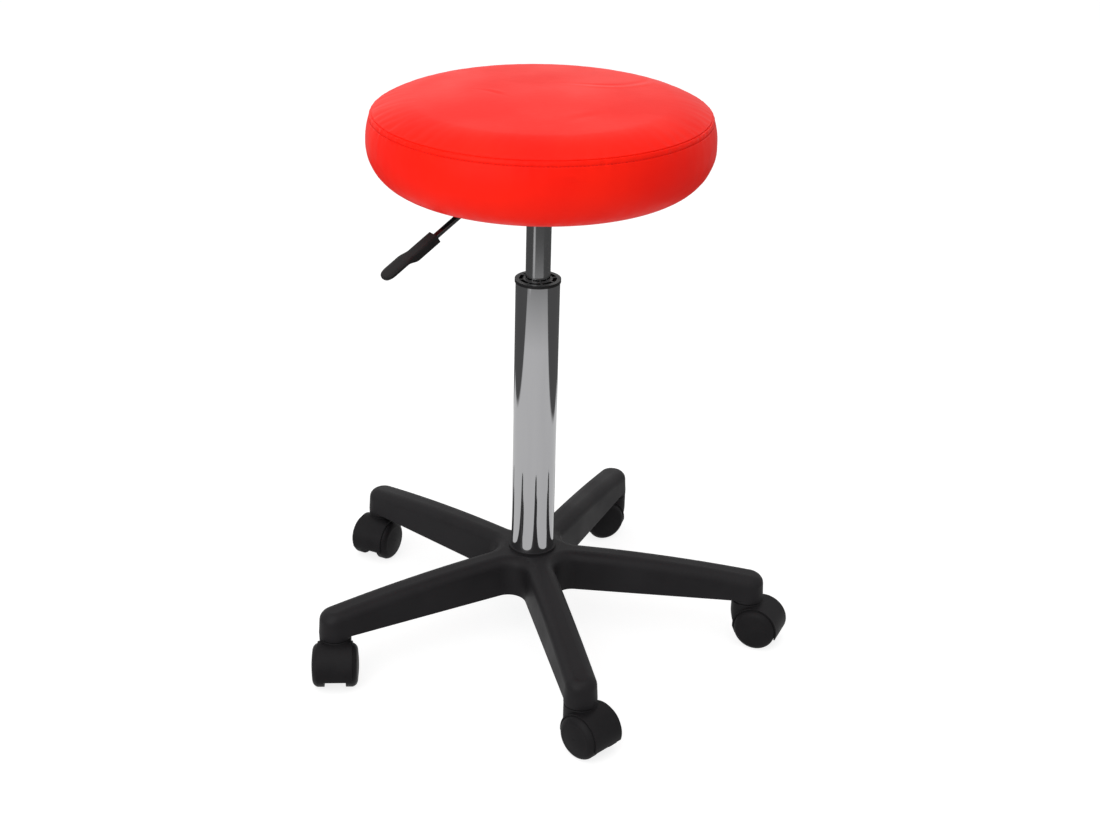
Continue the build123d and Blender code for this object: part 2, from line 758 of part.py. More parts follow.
# Dust cover: thin black cloth, stepped down where it laps the cover's margin.
step_radius = board_radius - dust_cover_step_inset
rim_radius = board_radius - dust_cover_inset
rim_high = seat_low - cover_fit / 2
centre_high = board_low - cover_fit / 2
dust_cover = turned(
    (0, centre_high),
    (step_radius, centre_high),
    (margin_radius - dust_cover_thickness, rim_high),
    (rim_radius, rim_high),
    (rim_radius, rim_high - dust_cover_thickness),
    (step_radius, rim_high - dust_cover_thickness),
    (step_radius - dust_cover_thickness, centre_high - dust_cover_thickness),
    (0, centre_high - dust_cover_thickness),
)
cloth_hole = rod((bolt_diameter + bolt_clearance) / 2, plate_low, board_low)
dust_cover -= [turn * place * cloth_hole for place in bolt_places]
write("dust_cover", dust_cover)
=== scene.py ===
# The looks of an office stool: a round red padded seat on a gas column with a release lever,
# over a five-armed moulded base on twin-wheel casters. Metres, +Z up, the floor at zero. The
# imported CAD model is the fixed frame, and each section below dresses one piece or one group of
# like pieces, from the floor up to the seat.
import bpy
import numpy as np
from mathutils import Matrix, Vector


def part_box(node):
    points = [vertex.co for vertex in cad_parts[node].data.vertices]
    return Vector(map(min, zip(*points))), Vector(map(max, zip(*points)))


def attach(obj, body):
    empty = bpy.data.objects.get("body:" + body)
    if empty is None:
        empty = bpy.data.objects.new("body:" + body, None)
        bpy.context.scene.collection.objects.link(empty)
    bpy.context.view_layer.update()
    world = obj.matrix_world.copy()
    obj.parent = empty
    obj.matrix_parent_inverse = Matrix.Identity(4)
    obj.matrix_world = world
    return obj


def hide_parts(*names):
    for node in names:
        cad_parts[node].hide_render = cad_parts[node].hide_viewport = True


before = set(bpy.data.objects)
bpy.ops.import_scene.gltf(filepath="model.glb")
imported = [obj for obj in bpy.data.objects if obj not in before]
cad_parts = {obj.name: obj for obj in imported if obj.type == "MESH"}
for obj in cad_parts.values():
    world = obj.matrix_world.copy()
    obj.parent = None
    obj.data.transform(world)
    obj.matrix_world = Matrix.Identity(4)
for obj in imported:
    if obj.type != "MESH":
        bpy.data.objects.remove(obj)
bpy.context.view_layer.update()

# Casters. Hood and wheels are injection-moulded nylon with a satin skin and a very fine
# spark-eroded grain. Wheels run on the plain ends of a steel axle, hoods on a steel stem.
hood_colours = ((0.0085, 0.0080, 0.0088), (0.0115, 0.0110, 0.0118))
hood_roughness = (0.42, 0.54)
hood_ior = 1.17
hood_grain_per_metre = 1500.0
hood_grain_depth = 0.00003
hood_cloud_per_metre = 38.0
caster_numbers = range(1, 6)


def blank_finish(name):
    """A new material, its node tree and its Principled shader."""
    material = bpy.data.materials.new(name)
    material.use_nodes = True
    tree = material.node_tree
    return material, tree, tree.nodes["Principled BSDF"]


def object_noise(tree, per_metre, detail=3.0, stretch=(1.0, 1.0, 1.0)):
    """Noise over Object coordinates, squeezed or stretched along the three axes."""
    place = tree.nodes.new("ShaderNodeTexCoord")
    mapping = tree.nodes.new("ShaderNodeMapping")
    mapping.inputs["Scale"].default_value = stretch
    noise = tree.nodes.new("ShaderNodeTexNoise")
    noise.inputs["Scale"].default_value = per_metre
    noise.inputs["Detail"].default_value = detail
    tree.links.new(place.outputs["Object"], mapping.inputs["Vector"])
    tree.links.new(mapping.outputs["Vector"], noise.inputs["Vector"])
    return noise.outputs["Fac"]


def spread(tree, source, low, high, start=0.35, end=0.65):
    """The source between start and end, carried over to the span from low to high."""
    node = tree.nodes.new("ShaderNodeMapRange")
    node.inputs["From Min"].default_value = start
    node.inputs["From Max"].default_value = end
    node.inputs["To Min"].default_value = low
    node.inputs["To Max"].default_value = high
    tree.links.new(source, node.inputs["Value"])
    return node.outputs["Result"]


def math_node(tree, operation, *inputs):
    """One Math node, fed by sockets or plain numbers."""
    node = tree.nodes.new("ShaderNodeMath")
    node.operation = operation
    for place, value in zip(node.inputs, inputs):
        if isinstance(value, bpy.types.NodeSocket):
            tree.links.new(value, place)
        else:
            place.default_value = value
    return node.outputs["Value"]


def colour_between(tree, share, first, second):
    """The first colour where the share is 0, the second where it is 1."""
    node = tree.nodes.new("ShaderNodeMix")
    node.data_type = "RGBA"
    node.inputs["A"].default_value = (*first, 1.0)
    node.inputs["B"].default_value = (*second, 1.0)
    tree.links.new(share, node.inputs["Factor"])
    return node.outputs["Result"]


def raised(tree, height, depth, under=None):
    """A bump of the given depth in metres, laid over the bump under it."""
    node = tree.nodes.new("ShaderNodeBump")
    node.inputs["Distance"].default_value = depth
    tree.links.new(height, node.inputs["Height"])
    if under is not None:
        tree.links.new(under, node.inputs["Normal"])
    return node.outputs["Normal"]


def grained_finish(name, colours, roughness, ior, grain, cloud):
    """Plastic, paint or cloth: faint clouds in colour and gloss, over an even fine grain."""
    material, tree, shader = blank_finish(name)
    clouds = object_noise(tree, cloud)
    tint = colour_between(tree, spread(tree, clouds, 0.0, 1.0), *colours)
    tree.links.new(tint, shader.inputs["Base Color"])
    tree.links.new(spread(tree, clouds, *roughness), shader.inputs["Roughness"])
    per_metre, depth = grain
    tree.links.new(raised(tree, object_noise(tree, per_metre), depth), shader.inputs["Normal"])
    shader.inputs["IOR"].default_value = ior
    return material


def dress(material, *names):
    """Gives the CAD nodes of these names the material."""
    for name in names:
        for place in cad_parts[name].material_slots:
            place.material = material


caster_nylon = grained_finish(
    "caster_nylon",
    hood_colours,
    hood_roughness,
    hood_ior,
    (hood_grain_per_metre, hood_grain_depth),
    hood_cloud_per_metre,
)
for number in caster_numbers:
    dress(caster_nylon, f"caster_hood_{number}", f"wheel_left_{number}", f"wheel_right_{number}")

# Small steel parts: stems, axles, the split rings that hold the stems, the hub's ring, the foot
# bearing's washers and clip, the lever's pivot pin, and the seat's bolts, washers and tee nuts.
# Turned or pressed steel with bright zinc plate, faintly clouded.
zinc_colours = ((0.58, 0.59, 0.61), (0.44, 0.45, 0.46))
zinc_roughness = (0.26, 0.42)
zinc_cloud_per_metre = 260.0
zinc_grain_per_metre = 2200.0
zinc_grain_depth = 0.00001


def metal_finish(name, colours, roughness, grain, cloud, stretch=(1.0, 1.0, 1.0)):
    """Metal whose colour and gloss drift with one noise, over fine machining marks."""
    material, tree, shader = blank_finish(name)
    clouds = object_noise(tree, cloud, stretch=stretch)
    tint = colour_between(tree, spread(tree, clouds, 0.0, 1.0), *colours)
    tree.links.new(tint, shader.inputs["Base Color"])
    tree.links.new(spread(tree, clouds, *roughness), shader.inputs["Roughness"])
    per_metre, depth = grain
    marks = raised(tree, object_noise(tree, per_metre, stretch=stretch), depth)
    tree.links.new(marks, shader.inputs["Normal"])
    shader.inputs["Metallic"].default_value = 1.0
    return material


bright_zinc = metal_finish(
    "bright_zinc",
    zinc_colours,
    zinc_roughness,
    (zinc_grain_per_metre, zinc_grain_depth),
    zinc_cloud_per_metre,
)
dress(bright_zinc, "hub_ring", "grip_rings", "foot_washer", "retaining_clip", "pivot_pin")
dress(bright_zinc, "bearing_lower_washer", "bearing_upper_washer")
dress(bright_zinc, "plate_bolts", "plate_washers", "tee_nuts")
for number in caster_numbers:
    dress(bright_zinc, f"caster_stem_{number}", f"caster_axle_{number}")

# Five-armed base. One moulding of glass-filled nylon, with a slightly coarser grain than the
# casters. The glass leaves it a little paler and duller where it flowed along the arms.
base_colours = ((0.0105, 0.0098, 0.0108), (0.0145, 0.0138, 0.0150))
base_roughness = (0.46, 0.58)
base_ior = 1.21
base_grain_per_metre = 1100.0
base_grain_depth = 0.00005
base_cloud_per_metre = 16.0

base_nylon = grained_finish(
    "base_nylon",
    base_colours,
    base_roughness,
    base_ior,
    (base_grain_per_metre, base_grain_depth),
    base_cloud_per_metre,
)
dress(base_nylon, "star_base")

# Column tube. Drawn steel, polished and chrome plated: nearly a mirror, with drawing marks
# that run along it and can hardly be seen.
column_colours = ((0.50, 0.50, 0.51), (0.46, 0.46, 0.47))
column_roughness = (0.035, 0.075)
column_mark_per_metre = 420.0
column_mark_depth = 0.000002
column_cloud_per_metre = 30.0
along_the_column = (1.0, 1.0, 0.08)

polished_chrome = metal_finish(
    "polished_chrome",
    column_colours,
    column_roughness,
    (column_mark_per_metre, column_mark_depth),
    column_cloud_per_metre,
    along_the_column,
)
dress(polished_chrome, "column_tube")

# Guide in the mouth of the column: black acetal, glossier than the base, turned smooth.
guide_colours = ((0.0070, 0.0068, 0.0074), (0.0100, 0.0098, 0.0105))
guide_roughness = (0.34, 0.44)
guide_ior = 1.30
guide_grain_per_metre = 1700.0
guide_grain_depth = 0.00001
guide_cloud_per_metre = 80.0

black_acetal = grained_finish(
    "black_acetal",
    guide_colours,
    guide_roughness,
    guide_ior,
    (guide_grain_per_metre, guide_grain_depth),
    guide_cloud_per_metre,
)
dress(black_acetal, "guide_bush")

# Inside the gas spring and its foot: natural acetal, an aluminium valve, a rubber buffer and
# ground steel. Only an exploded or opened view shows them.
acetal_colours = ((0.72, 0.71, 0.66), (0.64, 0.63, 0.58))
acetal_roughness = (0.35, 0.45)
acetal_ior = 1.48
valve_colours = ((0.66, 0.67, 0.69), (0.56, 0.57, 0.59))
valve_roughness = (0.22, 0.34)
ground_colours = ((0.56, 0.56, 0.58), (0.47, 0.47, 0.49))
ground_roughness = (0.10, 0.18)
rubber_colours = ((0.020, 0.020, 0.021), (0.030, 0.030, 0.031))
rubber_roughness = (0.62, 0.78)
rubber_ior = 1.38
inner_cloud_per_metre = 90.0
turning_mark_per_metre = 900.0
turning_mark_depth = 0.000008
inner_grain = (turning_mark_per_metre, turning_mark_depth)
round_the_column = (0.08, 0.08, 1.0)

natural_acetal = grained_finish(
    "natural_acetal",
    acetal_colours,
    acetal_roughness,
    acetal_ior,
    inner_grain,
    inner_cloud_per_metre,
)
dress(natural_acetal, "bearing_race", "piston", "rod_guide")
turned_aluminium = metal_finish(
    "turned_aluminium",
    valve_colours,
    valve_roughness,
    inner_grain,
    inner_cloud_per_metre,
    round_the_column,
)
dress(turned_aluminium, "valve_body")
ground_steel = metal_finish(
    "ground_steel",
    ground_colours,
    ground_roughness,
    inner_grain,
    inner_cloud_per_metre,
    round_the_column,
)
dress(ground_steel, "piston_rod", "release_pin", "inner_tube")
buffer_rubber = grained_finish(
    "buffer_rubber",
    rubber_colours,
    rubber_roughness,
    rubber_ior,
    inner_grain,
    inner_cloud_per_metre,
)
dress(buffer_rubber, "buffer")

# Gas cylinder. Steel tube with black chrome: a dark mirror, slightly softer than the column.
cylinder_colours = ((0.430, 0.430, 0.437), (0.390, 0.390, 0.397))
cylinder_roughness = (0.11, 0.17)

black_chrome = metal_finish(
    "black_chrome",
    cylinder_colours,
    cylinder_roughness,
    (column_mark_per_metre, column_mark_depth),
    column_cloud_per_metre,
    along_the_column,
)
dress(black_chrome, "pressure_cylinder")

# Seat plate, its turned taper socket and the lever's bracket: welded steel with a black powder
# coat, which has a soft orange-peel skin.
powder_colours = ((0.016, 0.016, 0.017), (0.022, 0.022, 0.023))
powder_roughness = (0.34, 0.46)
powder_ior = 1.40
peel_per_metre = 520.0
peel_depth = 0.00008

powder_coat = grained_finish(
    "powder_coat",
    powder_colours,
    powder_roughness,
    powder_ior,
    (peel_per_metre, peel_depth),
    base_cloud_per_metre,
)
dress(powder_coat, "seat_plate", "taper_socket", "lever_bracket")

# Release lever. The bent rod is steel with a glossy black enamel, and the paddle pressed on
# its end is satin moulded plastic.
enamel_colours = ((0.0050, 0.0050, 0.0054), (0.0075, 0.0075, 0.0080))
enamel_roughness = (0.10, 0.17)
enamel_ior = 1.50
enamel_peel_depth = 0.00002
paddle_colours = ((0.0100, 0.0098, 0.0100), (0.0140, 0.0136, 0.0140))
paddle_roughness = (0.34, 0.44)
paddle_ior = 1.17
paddle_cloud_per_metre = 45.0

black_enamel = grained_finish(
    "black_enamel",
    enamel_colours,
    enamel_roughness,
    enamel_ior,
    (peel_per_metre, enamel_peel_depth),
    base_cloud_per_metre,
)
dress(black_enamel, "lever_rod")
paddle_plastic = grained_finish(
    "paddle_plastic",
    paddle_colours,
    paddle_roughness,
    paddle_ior,
    (base_grain_per_metre, base_grain_depth),
    paddle_cloud_per_metre,
)

# Paddle: a grip moulded round the rod's end. A boxy sleeve with a bore for the rod steps up into
# a flat blade with a round tip. Each ring is a superellipse, |y/a|^n + |z/b|^n = 1, and n falls
# from the boxy sleeve to the softer blade.
lever_angle = np.radians(201.0)
lever_slope = np.radians(31.8)
rod_bend_reach = 0.0940
rod_height = 0.5391
paddle_start = 0.0445
paddle_length = 0.0730
sleeve_length = 0.0300
sleeve_half_width = 0.0084
sleeve_half_thickness = 0.00475
sleeve_squareness = 8.0
sleeve_end_rounding = 0.0005
blade_bend_length = 0.0140
blade_rise = 0.0036
blade_half_width = 0.0110
blade_half_thickness = 0.0026
blade_squareness = 3.8
rod_bore_radius = 0.00355
rod_bore_length = 0.02155
bore_mouth_rounding = 0.0002
bore_squareness = 2.0
tip_last_turn = np.radians(88.0)
paddle_columns = 96
paddle_bore_rows = 4
paddle_body_rows = 60
paddle_tip_rows = 28
rounding_rows = 6
straight_up = np.array([0.0, 0.0, 1.0])


def smooth_object(name, vertices, faces):
    """An object of a new smooth-shaded mesh."""
    mesh = bpy.data.meshes.new(name)
    mesh.from_pydata(vertices.tolist(), [], faces)
    mesh.shade_smooth()
    piece = bpy.data.objects.new(name, mesh)
    bpy.context.scene.collection.objects.link(piece)
    return piece


def grid_quads(rows, columns):
    """Numbers of a grid's points, and its quads, where each row closes on itself."""
    first = np.arange(rows * columns).reshape(rows, columns)
    beside = np.roll(first, -1, axis=1)
    quads = np.stack([first[:-1], beside[:-1], beside[1:], first[1:]], -1).reshape(-1, 4)
    return first, beside, quads


def grid_object(name, points, start_pole=False, end_pole=False):
    """A mesh from rows of points that close on themselves; either end may close to a pole."""
    first, beside, quads = grid_quads(*points.shape[:2])
    vertices = points.reshape(-1, 3)
    faces = quads.tolist()
    if end_pole:
        pole = np.full(len(first[0]), len(vertices))
        vertices = np.concatenate([vertices, points[-1].mean(0)[None]])
        faces += np.stack([first[-1], beside[-1], pole], -1).tolist()
    if start_pole:
        pole = np.full(len(first[0]), len(vertices))
        vertices = np.concatenate([vertices, points[0].mean(0)[None]])
        faces += np.stack([beside[0], first[0], pole], -1).tolist()
    return smooth_object(name, vertices, faces)


def eased(share):
    """A share from 0 to 1 whose change starts and ends gently."""
    return share**2 * (3 - 2 * share)


def round_axis(radius, angle, height):
    """Points about the column's axis, from their radius, angle and height."""
    x = radius * np.cos(angle)
    y = radius * np.sin(angle)
    return np.stack(np.broadcast_arrays(x, y, height), -1)


def column_of(value):
    """A value for each ring, as a column, or one value for them all."""
    return np.reshape(value, (-1, 1))


def superellipse_rings(along, half_width, half_thickness, squareness, rise):
    """Rings about the rod's line, each with its own half axes a and b and its own exponent n."""
    angle = np.linspace(0.0, 2 * np.pi, paddle_columns, endpoint=False)
    values = (along, half_width, half_thickness, 2 / squareness, rise)
    columns = [column_of(value) + np.zeros((len(along), 1)) for value in values]
    x, half_y, half_z, power, lift = columns
    y = half_y * np.sign(np.cos(angle)) * np.abs(np.cos(angle)) ** power
    z = half_z * np.sign(np.sin(angle)) * np.abs(np.sin(angle)) ** power
    return np.stack([x + np.zeros_like(y), y, z + lift], -1)


quarter_turn = np.linspace(0.0, np.pi / 2, rounding_rows)
bore_along = np.linspace(rod_bore_length, bore_mouth_rounding, paddle_bore_rows)[:-1]
bore_rings = superellipse_rings(
    bore_along, rod_bore_radius, rod_bore_radius, bore_squareness, 0.0
)
mouth_reach = rod_bore_radius + bore_mouth_rounding * (1 - np.cos(quarter_turn))
mouth_along = bore_mouth_rounding * (1 - np.sin(quarter_turn))
mouth_rings = superellipse_rings(mouth_along, mouth_reach, mouth_reach, bore_squareness, 0.0)
end_inset = sleeve_end_rounding * (1 - np.sin(quarter_turn))
end_rings = superellipse_rings(
    sleeve_end_rounding * (1 - np.cos(quarter_turn)),
    sleeve_half_width - end_inset,
    sleeve_half_thickness - end_inset,
    sleeve_squareness,
    0.0,
)
blade_tip_start = paddle_length - blade_half_width
tip_turn = np.linspace(0.0, tip_last_turn, paddle_tip_rows)
grip_along = np.concatenate(
    [
        np.linspace(sleeve_end_rounding, blade_tip_start, paddle_body_rows)[1:-1],
        blade_tip_start + blade_half_width * np.sin(tip_turn),
    ]
)
bend_share = eased(np.clip((grip_along - sleeve_length) / blade_bend_length, 0.0, 1.0))
past_tip_start = np.maximum(grip_along - blade_tip_start, 0.0)
past_edge_start = np.maximum(grip_along - paddle_length + blade_half_thickness, 0.0)
blade_widening = blade_half_width - sleeve_half_width
blade_thinning = blade_half_thickness - sleeve_half_thickness
grip_half_width = sleeve_half_width + bend_share * blade_widening
grip_half_thickness = sleeve_half_thickness + bend_share * blade_thinning
grip_rings = superellipse_rings(
    grip_along,
    grip_half_width * np.sqrt(1 - (past_tip_start / blade_half_width) ** 2),
    grip_half_thickness * np.sqrt(1 - (past_edge_start / blade_half_thickness) ** 2),
    sleeve_squareness + bend_share * (blade_squareness - sleeve_squareness),
    blade_rise * bend_share,
)
grip_local = np.concatenate([bore_rings, mouth_rings, end_rings, grip_rings])
lever_out = round_axis(1.0, lever_angle, 0.0)
lever_side = np.cross(straight_up, lever_out)
down_the_rod = np.cos(lever_slope) * lever_out - np.sin(lever_slope) * straight_up
over_the_rod = np.sin(lever_slope) * lever_out + np.cos(lever_slope) * straight_up
grip_origin = rod_bend_reach * lever_out + rod_height * straight_up + paddle_start * down_the_rod
grip_points = grip_origin + grip_local @ np.stack([down_the_rod, lever_side, over_the_rod])
lever_grip = grid_object("lever_grip", grip_points, start_pole=True, end_pole=True)
lever_grip.data.materials.append(paddle_plastic)
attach(lever_grip, "lever")
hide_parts("lever_paddle")

# Seat board: sanded birch plywood. Its veneers lie flat, so its colour changes in level bands,
# over a long grain.
veneer_colours = ((0.62, 0.44, 0.26), (0.40, 0.25, 0.13))
veneer_band_scale = 18.0
veneer_band_distortion = 0.4
wood_grain_per_metre = 60.0
wood_grain_detail = 6.0
wood_roughness = 0.62
wood_grain_depth = 0.00006
along_the_wood = (0.12, 1.0, 1.0)

birch_plywood, wood_tree, wood_shader = blank_finish("birch_plywood")
wood_place = wood_tree.nodes.new("ShaderNodeTexCoord")
veneer_bands = wood_tree.nodes.new("ShaderNodeTexWave")
veneer_bands.bands_direction = "Z"
veneer_bands.inputs["Scale"].default_value = veneer_band_scale
veneer_bands.inputs["Distortion"].default_value = veneer_band_distortion
wood_tree.links.new(wood_place.outputs["Object"], veneer_bands.inputs["Vector"])
wood_grain = object_noise(wood_tree, wood_grain_per_metre, wood_grain_detail, along_the_wood)
wood_streaks = spread(wood_tree, wood_grain, 0.0, 1.0)
wood_share = math_node(wood_tree, "MULTIPLY", veneer_bands.outputs["Fac"], wood_streaks)
wood_tint = colour_between(wood_tree, wood_share, *veneer_colours)
wood_tree.links.new(wood_tint, wood_shader.inputs["Base Color"])
wood_tree.links.new(raised(wood_tree, wood_grain, wood_grain_depth), wood_shader.inputs["Normal"])
wood_shader.inputs["Roughness"].default_value = wood_roughness
dress(birch_plywood, "seat_board")

# Foam and cover. A block of cut foam rounds over the board. The cover is coated cloth in two
# pieces: a round top panel and a side band, sewn together high on the side, topstitched just
# under the seam, rolled under the board and stapled there. Its outline is a chain of arcs
# through these points, each a radius and a height over the seat's underside.
seat_low = float(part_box("side_band")[0][2])
hem_edge = (0.1260, 0.0)
board_edge = (0.1435, 0.0)
roll_middle = (0.1803, 0.0199)
widest = (0.18865, 0.0485)
side_middle = (0.1871, 0.0645)
seam = (0.1825, 0.0790)
shoulder_middle = (0.16505, 0.0876)
shoulder = (0.1421, 0.0934)
crown_height = 0.0987
cover_thickness = 0.0011
arc_points = 400


def arc_through(first, middle, last):
    """Points on the circle through three points: the angle about its centre runs evenly."""
    a, b, c = (np.array(point) for point in (first, middle, last))
    across = np.array([b - a, c - a])
    centre = np.linalg.solve(2 * across, (across * np.array([b + a, c + a])).sum(1))
    turns = np.unwrap([np.arctan2(*(point - centre)[::-1]) for point in (a, b, c)])
    turn = np.linspace(turns[0], turns[2], arc_points)
    reach = np.hypot(*(a - centre))
    return centre + reach * np.stack([np.cos(turn), np.sin(turn)], 1)


def crown_arc(rim, top):
    """Points on the arc from a rim up to the axis, level there: its centre lies on the axis."""
    rise = top - rim[1]
    reach = (rim[0] ** 2 + rise**2) / (2 * rise)
    turn = np.linspace(np.arcsin(rim[0] / reach), 0.0, arc_points)
    return np.stack([reach * np.sin(turn), top - reach + reach * np.cos(turn)], 1)


margin_line = np.linspace(hem_edge, board_edge, arc_points)
outline = np.concatenate(
    [
        margin_line[:-1],
        arc_through(board_edge, roll_middle, widest)[:-1],
        arc_through(widest, side_middle, seam)[:-1],
        arc_through(seam, shoulder_middle, shoulder)[:-1],
        crown_arc(shoulder, crown_height),
    ]
)
outline_run = np.concatenate([[0.0], np.cumsum(np.hypot(*np.diff(outline, axis=0).T))])
board_run = float(outline_run[arc_points - 1])
seam_run = float(outline_run[3 * (arc_points - 1)])
crown_run = float(outline_run[-1])
slope = np.gradient(outline, axis=0)
outline_normal = np.stack([slope[:, 1], -slope[:, 0]], 1) / np.hypot(*slope.T)[:, None]


def on_outline(run, values):
    """Values of the outline, such as its points or its normals, at the given runs along it."""
    return np.stack([np.interp(run, outline_run, values[:, k]) for k in (0, 1)], -1)


def turned_surface(run, angle, stand_out):
    """The outline turned about the column's axis, moved along its normal by stand_out."""
    out = stand_out[..., None] * on_outline(run, outline_normal)[:, None, :]
    point = on_outline(run, outline)[:, None, :] + out
    return round_axis(point[..., 0], angle, seat_low + point[..., 1])


# The cover is pulled over the foam, so its wrinkles come from a cloth simulation: the pinned
# hem and seam hold, air pressure stands for the foam, and the cloth between is cut a little too
# large. Only its unevenness is kept, because the outline is already the pad's own.
cloth_columns = 300
cloth_band_rows = 40
cloth_panel_rows = 34
cloth_spare_share = 0.005
cloth_pressure = 4.0
cloth_frames = 20
cloth_quality = 6
cloth_mass = 0.25
cloth_stretch_stiffness = 25.0
cloth_shear_stiffness = 8.0
cloth_bending_stiffness = 0.6
hem_hold_reach = 0.002
seam_hold_reach = 0.0005
wrinkle_limit = 0.0010
wrinkle_gain = 0.5
wrinkle_reach_in = 0.018
wrinkle_fade_start = 0.016
wrinkle_fade_end = 0.060
seed_waves = np.array([7, 11, 17, 23, 31, 43, 59, 71])
seed_height = 0.00025
seed_drift = 90.0
wave_start_step = 2.4
pole_reach = 0.012
panel_pole_run = crown_run - pole_reach


def uneven(angle, run, waves, drift_per_metre):
    """A sum of waves round the seat that drift with the run, mostly between -1 and 1."""
    drift = drift_per_metre * run[..., None] * np.cos(waves)
    phase = waves * angle[..., None] + wave_start_step * waves**2 + drift
    return np.sin(phase).sum(-1) / np.sqrt(len(waves))


def simulated_wrinkles():
    """How far each point of a coarse cover stands out once it has settled, less its row's mean."""
    band_run = np.linspace(0.0, seam_run, cloth_band_rows)
    panel_run = np.linspace(seam_run, panel_pole_run, cloth_panel_rows)[1:]
    run = np.concatenate([band_run, panel_run])
    angle = np.linspace(0.0, 2 * np.pi, cloth_columns, endpoint=False)
    grid_run, grid_angle = np.meshgrid(run, angle, indexing="ij")
    seed = seed_height * uneven(grid_angle, grid_run, seed_waves, seed_drift)
    at_hem = grid_run < board_run + hem_hold_reach
    held = at_hem | (np.abs(grid_run - seam_run) < seam_hold_reach)
    start = turned_surface(run, grid_angle, np.where(held, 0.0, seed))
    cloth = grid_object("settling_cover", start, end_pole=True)
    pins = cloth.vertex_groups.new(name="held")
    pins.add(np.flatnonzero(held.ravel()).tolist(), 1.0, "REPLACE")
    settle = cloth.modifiers.new("settle", "CLOTH")
    settle.settings.quality = cloth_quality
    settle.settings.mass = cloth_mass
    settle.settings.tension_stiffness = cloth_stretch_stiffness
    settle.settings.compression_stiffness = cloth_stretch_stiffness
    settle.settings.shear_stiffness = cloth_shear_stiffness
    settle.settings.bending_stiffness = cloth_bending_stiffness
    settle.settings.use_pressure = True
    settle.settings.uniform_pressure_force = cloth_pressure
    settle.settings.effector_weights.gravity = 0.0
    settle.settings.vertex_group_mass = "held"
    settle.settings.shrink_min = -cloth_spare_share
    settle.point_cache.frame_start = 1
    settle.point_cache.frame_end = cloth_frames
    for step in range(1, cloth_frames + 1):
        bpy.context.scene.frame_set(step)
    shape = cloth.evaluated_get(bpy.context.evaluated_depsgraph_get()).to_mesh()
    settled = np.empty(3 * len(shape.vertices))
    shape.vertices.foreach_get("co", settled)
    settled = settled.reshape(-1, 3)[:-1].reshape(start.shape)
    bpy.data.objects.remove(cloth)
    bpy.context.scene.frame_set(1)
    flat = turned_surface(run, grid_angle, np.zeros_like(grid_run))
    out = turned_surface(run, grid_angle, np.ones_like(grid_run)) - flat
    stand_out = ((settled - flat) * out).sum(-1)
    stand_out -= stand_out.mean(1, keepdims=True)
    return run, wrinkle_limit * np.tanh(wrinkle_gain * stand_out / wrinkle_limit)


def cubic_weights(share):
    """The four weights of a cubic that passes smoothly through its neighbours."""
    s = share
    return (
        -0.5 * s + s**2 - 0.5 * s**3,
        1 - 2.5 * s**2 + 1.5 * s**3,
        0.5 * s + 2 * s**2 - 1.5 * s**3,
        -0.5 * s**2 + 0.5 * s**3,
    )


coarse_run, coarse_wrinkles = simulated_wrinkles()


def wrinkles(run, angle):
    """The coarse wrinkles read at any run and angle, by a cubic along each way."""
    place = angle / (2 * np.pi) * cloth_columns
    column = np.floor(place).astype(int)
    row_place = np.interp(run, coarse_run, np.arange(len(coarse_run)))
    row = np.minimum(np.floor(row_place).astype(int), len(coarse_run) - 2)
    total = np.zeros(angle.shape)
    for i, row_weight in enumerate(cubic_weights(row_place - row)):
        rows = np.clip(row + i - 1, 0, len(coarse_run) - 1)
        for j, column_weight in enumerate(cubic_weights(place - column)):
            columns = (column + j - 1) % cloth_columns
            total += row_weight * column_weight * coarse_wrinkles[rows, columns]
    past_board = run - board_run - wrinkle_fade_start
    pulled_tight = np.clip(past_board / (wrinkle_fade_end - wrinkle_fade_start), 0.0, 1.0)
    over_seam = np.maximum(run - seam_run, 0.0)
    return total * pulled_tight * np.exp(-over_seam / wrinkle_reach_in)


# Sewing. The seam is a groove where the two pieces turn in, the topstitch a shallower one
# below it, and the cloth between them stands a little proud over the folded edges. Both pull
# the cloth into small puckers. Pleats gather the band on its way under the board.
seam_depth = 0.0015
seam_half_width = 0.0006
topstitch_drop = 0.0060
topstitch_depth = 0.0006
topstitch_half_width = 0.0008
fold_height = 0.00045
pucker_height = 0.00017
pucker_reach = 0.0065
pucker_waves = np.array([53, 67, 83, 97, 113, 131])
pucker_drift = 60.0
pleat_height = 0.0010
pleat_reach = 0.012
pleat_waves = np.array([41, 47, 52])
pleat_drift = 10.0
# Shallow creases pressed into the cloth: the angle round the seat in degrees, the run from the
# seam towards the crown, the crease's direction in degrees, half length, half width and depth.
creases = np.array(
    [
        (166.5, 0.1330, 45.0, 0.0160, 0.0032, 0.00045),
        (19.6, 0.1070, 62.0, 0.0260, 0.0045, 0.00060),
        (18.4, 0.0640, 107.0, 0.0220, 0.0050, 0.00060),
        (-92.0, -0.0225, -24.0, 0.0110, 0.0024, 0.00050),
        (-141.0, -0.0180, -12.0, 0.0150, 0.0030, 0.00030),
        (64.0, -0.0260, 14.0, 0.0130, 0.0026, 0.00045),
        (128.0, -0.0310, -20.0, 0.0160, 0.0030, 0.00040),
        (-30.0, -0.0280, 18.0, 0.0150, 0.0030, 0.00040),
        (-75.0, 0.0900, 12.0, 0.0220, 0.0060, 0.00030),
    ]
)
crease_bow_share = 0.15
crease_lip_share = 0.6


def bell(distance, half_width):
    """A smooth bump, 1 at zero distance, that has nearly gone at twice the half width."""
    return np.exp(-((distance / half_width) ** 2))


